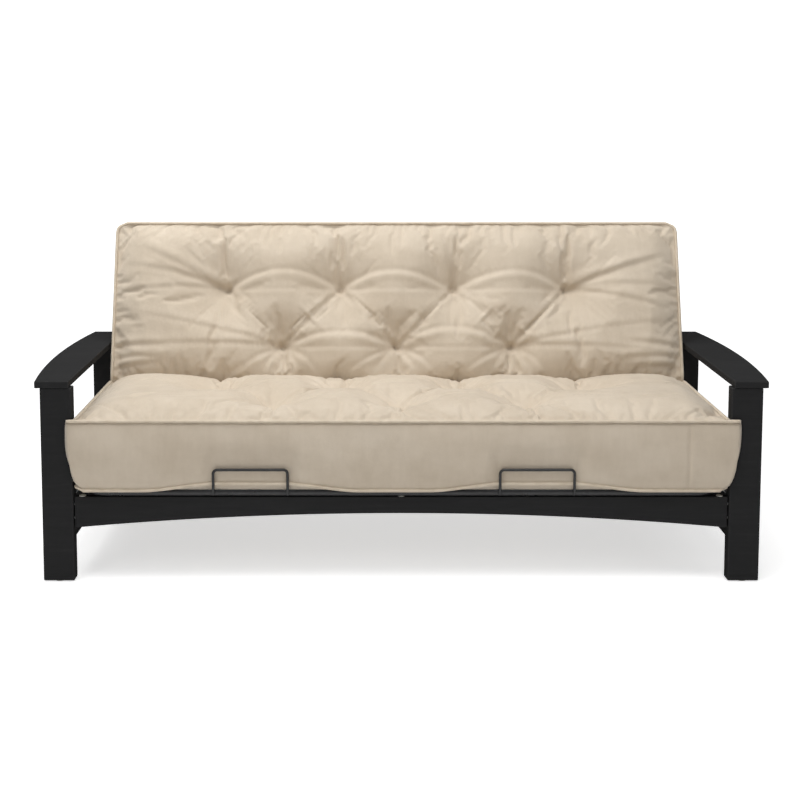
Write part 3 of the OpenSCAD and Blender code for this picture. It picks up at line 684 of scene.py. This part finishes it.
def birch_material():
    """Fluted birch dowel: pale straight grain."""
    mat, tree, shader = node_material("birch_grain")
    coords = coords_of(tree)
    grain = noise(tree, coords, 60.0, 5.0, (6.0, 6.0, 0.6), 0.6)
    colour = ramp(tree, grain, [(0.3, (0.50, 0.36, 0.21)), (0.7, (0.68, 0.52, 0.33))])
    tree.links.new(colour, shader.inputs["Base Color"])
    shader.inputs["Roughness"].default_value = 0.6
    bump(tree, shader, grain, 0.2, 0.0006)
    return mat


def stage_material():
    """Matt white studio paper. It glows to the camera alone, and more so away from the sofa."""
    mat, tree, shader = node_material("studio_paper")
    shader.inputs["Base Color"].default_value = (0.93, 0.93, 0.93, 1.0)
    shader.inputs["Roughness"].default_value = 0.9
    shader.inputs["Specular IOR Level"].default_value = 0.1
    shader.inputs["Emission Color"].default_value = (1.0, 1.0, 1.0, 1.0)
    seen = add(tree, "ShaderNodeLightPath")
    away = add(tree, "ShaderNodeVectorMath", operation="LENGTH")
    tree.links.new(coords_of(tree), away.inputs[0])
    fade = add(tree, "ShaderNodeMapRange")
    for socket, value in zip(("From Min", "From Max", "To Min", "To Max"), (2.4, 5.0, 0.58, 1.0)):
        fade.inputs[socket].default_value = value
    tree.links.new(away.outputs["Value"], fade.inputs["Value"])
    glow = add(tree, "ShaderNodeMath", operation="MULTIPLY")
    tree.links.new(seen.outputs["Is Camera Ray"], glow.inputs[0])
    tree.links.new(fade.outputs["Result"], glow.inputs[1])
    tree.links.new(glow.outputs[0], shader.inputs["Emission Strength"])
    return mat


# ---------------------------------------------------------------- build the mattress
FABRIC, PIPING = fabric_material(), piping_material()


def stitch_together(blocks):
    """Joins grids [rows, columns, 3] into one mesh, merging the vertices on shared seams."""
    points, faces = [], []
    for block, flip in blocks:
        rows, columns = block.shape[:2]
        faces += grid_faces(rows, columns, len(points), flip)
        points += [tuple(p) for p in block.reshape(-1, 3)]
    keys, index, kept = {}, [], []
    for p in points:
        key = (round(p[0] * 20000), round(p[1] * 20000), round(p[2] * 20000))
        if key not in keys:
            keys[key] = len(kept)
            kept.append(p)
        index.append(keys[key])
    welded = []
    for f in faces:
        g = [index[i] for i in f]
        g = [a for n, a in enumerate(g) if a != g[n - 1]]
        if len(g) > 2:
            welded.append(tuple(g))
    return kept, welded


def piping_path(points, left, right, front, top_edge, low):
    """Closed loop of seam points and, for each, its row and column."""
    rows = len(points)
    loop, kinds = [], []
    level = -1 if low else 0
    for c in range(points.shape[1]):
        loop.append(front[level, c])
        kinds.append((0, c))
    for r in range(1, rows):
        loop.append(right[r, level])
        kinds.append((r, -1))
    for c in range(points.shape[1] - 2, -1, -1):
        loop.append(top_edge[level, c])
        kinds.append((rows - 1, c))
    for r in range(rows - 2, 0, -1):
        loop.append(left[r, level])
        kinds.append((r, 0))
    return np.array(loop), kinds


def make_mattress():
    points, part_of, deck, share = build_mattress()
    rows, columns = points.shape[:2]
    left = side_wall(points, part_of, deck, 0, -1)
    right = side_wall(points, part_of, deck, columns - 1, 1)
    front = end_wall(points, "seat", deck, 0)
    top_edge = end_wall(points, "back", deck, rows - 1)
    for wall in (left, right, front):
        seat = wall[..., 1] < LEG_HI.y
        spread = front_spread(wall[..., 0], HINGE_Y - wall[..., 1])
        wall[..., 0] = np.where(seat, spread, wall[..., 0])
    near = points[..., 1] < LEG_HI.y
    points[..., 0] = np.where(near, front_spread(points[..., 0], HINGE_Y - points[..., 1]),
                              points[..., 0])
    left[:, 0], right[:, 0], front[0], top_edge[0] = (points[:, 0], points[:, -1], points[0],
                                                      points[-1])
    front[:, 0], front[:, -1] = left[0], right[0]
    top_edge[:, 0], top_edge[:, -1] = left[-1], right[-1]
    coarse = (np.append(share[:-1:8], share[-1]) + 1) / 2
    across = np.append(np.arange(0, len(share) - 1, 8), len(share) - 1)
    under = left[:, -1][:, None, :] * (1 - coarse[None, :, None]) \
        + right[:, -1][:, None, :] * coarse[None, :, None]
    under[0], under[-1] = front[-1][across], top_edge[-1][across]
    kept, faces = stitch_together([(points, False), (left, True), (right, False), (front, True),
                                   (top_edge, False), (under, True)])
    body = new_mesh("mattress", kept, faces)
    loops = [piping_path(points, left, right, front, top_edge, low) for low in (False, True)]
    return body, loops, part_of, deck


body, loops, part_of, deck = make_mattress()
FOLD_ROWS = {r for r, d in enumerate(deck) if not d[5]}


CREASE_NORMAL = np.array([0.0, SIN_B, COS_B])


def plane_gap(p):
    """Signed distance of points from the crease plane, positive on the back's side."""
    return (p - np.array([0, HINGE_Y, HINGE_Z])) @ CREASE_NORMAL


def finish_mesh(obj, material):
    for poly in obj.data.polygons:
        poly.use_smooth = True
    obj.data.materials.append(material)


def direction(loop):
    """Direction along a closed loop at each of its points."""
    before, after = np.roll(loop, 1, axis=0), np.roll(loop, -1, axis=0)
    return unit(after - before)


def make_piping(name, loop, kinds, low):
    """One cord of piping along a seam loop. In the fold its section turns to lie along it."""
    along = direction(loop)
    x_axis = np.array([1.0, 0.0, 0.0])
    e1, e2 = [], []
    for p, (r, _), t in zip(loop, kinds, along):
        part = part_of[r]
        normal = np.array([0, 0, 1.0]) if part == "seat" else np.array(
            [0, -math.cos(RECLINE), math.sin(RECLINE)])
        radial = unit(p - np.array([p[0], HINGE_Y, HINGE_Z]))
        near = 1.0 if r in FOLD_ROWS else float(smooth((0.19 - deck[r][0]) / 0.04))
        up = unit(normal * (1 - near) + radial * near)
        if low:
            up = normal
        side = x_axis * np.sign(p[0]) if r in FOLD_ROWS else unit(np.cross(t, up))
        e1.append(side)
        e2.append(up)
    e1, e2 = np.array(e1), np.array(e2)
    flip = np.sum((loop - loop.mean(axis=0)) * e1, axis=1) < 0
    out = np.where(flip[:, None], -e1, e1)
    path = loop + out * PIPING_OUT + e2 * (0.0 if low else PIPING_UP)
    points, faces = tube(path, out, e2, PIPING_R)
    fold_ring = np.repeat(np.array([r in FOLD_ROWS for r, _ in kinds]), TUBE_SIDES)
    gap = plane_gap(points)
    centre_gap = np.repeat(plane_gap(loop), TUBE_SIDES)
    limit = CREASE_HALF * 1.05
    is_back = np.repeat(np.array([part_of[r] == "back" for r, _ in kinds]), TUBE_SIDES)
    want = np.where(is_back, np.maximum(gap, limit), np.minimum(gap, -limit))
    want = np.where(fold_ring, centre_gap, want)
    points = points + (want - gap)[:, None] * CREASE_NORMAL
    obj = new_mesh(name, points, faces)
    finish_mesh(obj, PIPING)
    return obj


finish_mesh(body, FABRIC)
piping = [make_piping("piping_top", *loops[0], False), make_piping("piping_low", *loops[1], True)]

for piece in (body, *piping):
    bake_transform(piece)
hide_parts("mattress_seat", "mattress_back")

# ---------------------------------------------------------------- materials of the CAD nodes
BY_SLOT = {"black_wood": wood_material(), "black_steel": steel_paint_material(),
           "zinc_steel": zinc_material(), "nylon": nylon_material(), "birch": birch_material(),
           "mattress_fabric": FABRIC}
for part in RECORD["subparts"]:
    node = frame["nodes"].get(part["node"])
    if node is not None:
        node.data.materials.clear()
        node.data.materials.append(BY_SLOT[part["material_slot"]])


# ---------------------------------------------------------------- stage, lights, camera
def make_stage():
    """Floor that sweeps up into a backdrop well behind the sofa."""
    half, front_y, back_y, radius, height = 14.0, -14.0, 9.0, 3.0, 9.0
    profile = [(front_y, 0.0), (-2.0, 0.0), (0.0, 0.0), (back_y - radius, 0.0)]
    for k in range(1, 13):
        a = math.pi / 2 * k / 12
        profile.append((back_y - radius + radius * math.sin(a), radius - radius * math.cos(a)))
    profile.append((back_y, height))
    points = [(x, y, z) for y, z in profile for x in (-half, half)]
    faces = [(2 * k, 2 * k + 1, 2 * k + 3, 2 * k + 2) for k in range(len(profile) - 1)]
    obj = new_mesh("studio_sweep", points, faces)
    finish_mesh(obj, stage_material())


def area_light(name, place, target, size, power, size_y=None):
    data = bpy.data.lights.new(name, "AREA")
    data.energy = power
    data.size = size
    if size_y:
        data.shape, data.size_y = "RECTANGLE", size_y
    obj = bpy.data.objects.new(name, data)
    bpy.context.scene.collection.objects.link(obj)
    obj.location = place
    obj.rotation_euler = (Vector(target) - Vector(place)).to_track_quat("-Z", "Y").to_euler()


make_stage()
area_light("top_softbox", (-0.5, -0.7, 3.2), (0, 0.1, 0.4), 4.0, 96, 2.0)
area_light("front_softbox", (-2.8, -3.6, 2.8), (0, 0, 0.5), 1.6, 20)
area_light("right_softbox", (3.8, -2.2, 2.0), (0, 0, 0.5), 1.6, 8)

world = bpy.data.worlds.new("studio")
bpy.context.scene.world = world
world.use_nodes = True
world.node_tree.nodes["Background"].inputs["Color"].default_value = (1, 1, 1, 1)
seen_by = add(world.node_tree, "ShaderNodeLightPath")
sky = add(world.node_tree, "ShaderNodeMath", operation="MULTIPLY_ADD")
world.node_tree.links.new(seen_by.outputs["Is Camera Ray"], sky.inputs[0])
sky.inputs[1].default_value, sky.inputs[2].default_value = 0.80, 0.28
world.node_tree.links.new(sky.outputs[0],
                          world.node_tree.nodes["Background"].inputs["Strength"])
bpy.context.scene.view_settings.view_transform = "Standard"

CAMERA_PLACE = (-0.094, -4.2016, 1.346)
CAMERA_PITCH = 5.62      # degrees down
camera_data = bpy.data.cameras.new("camera")
camera_data.lens = 61.1
camera_data.sensor_width = 36.0
camera_data.shift_x = 0.04
camera_data.shift_y = -0.20
camera = bpy.data.objects.new("camera", camera_data)
bpy.context.scene.collection.objects.link(camera)
camera.location = CAMERA_PLACE
camera.rotation_euler = (math.radians(90 - CAMERA_PITCH), 0, 0)
camera_data.clip_end = 60
bpy.context.scene.camera = camera
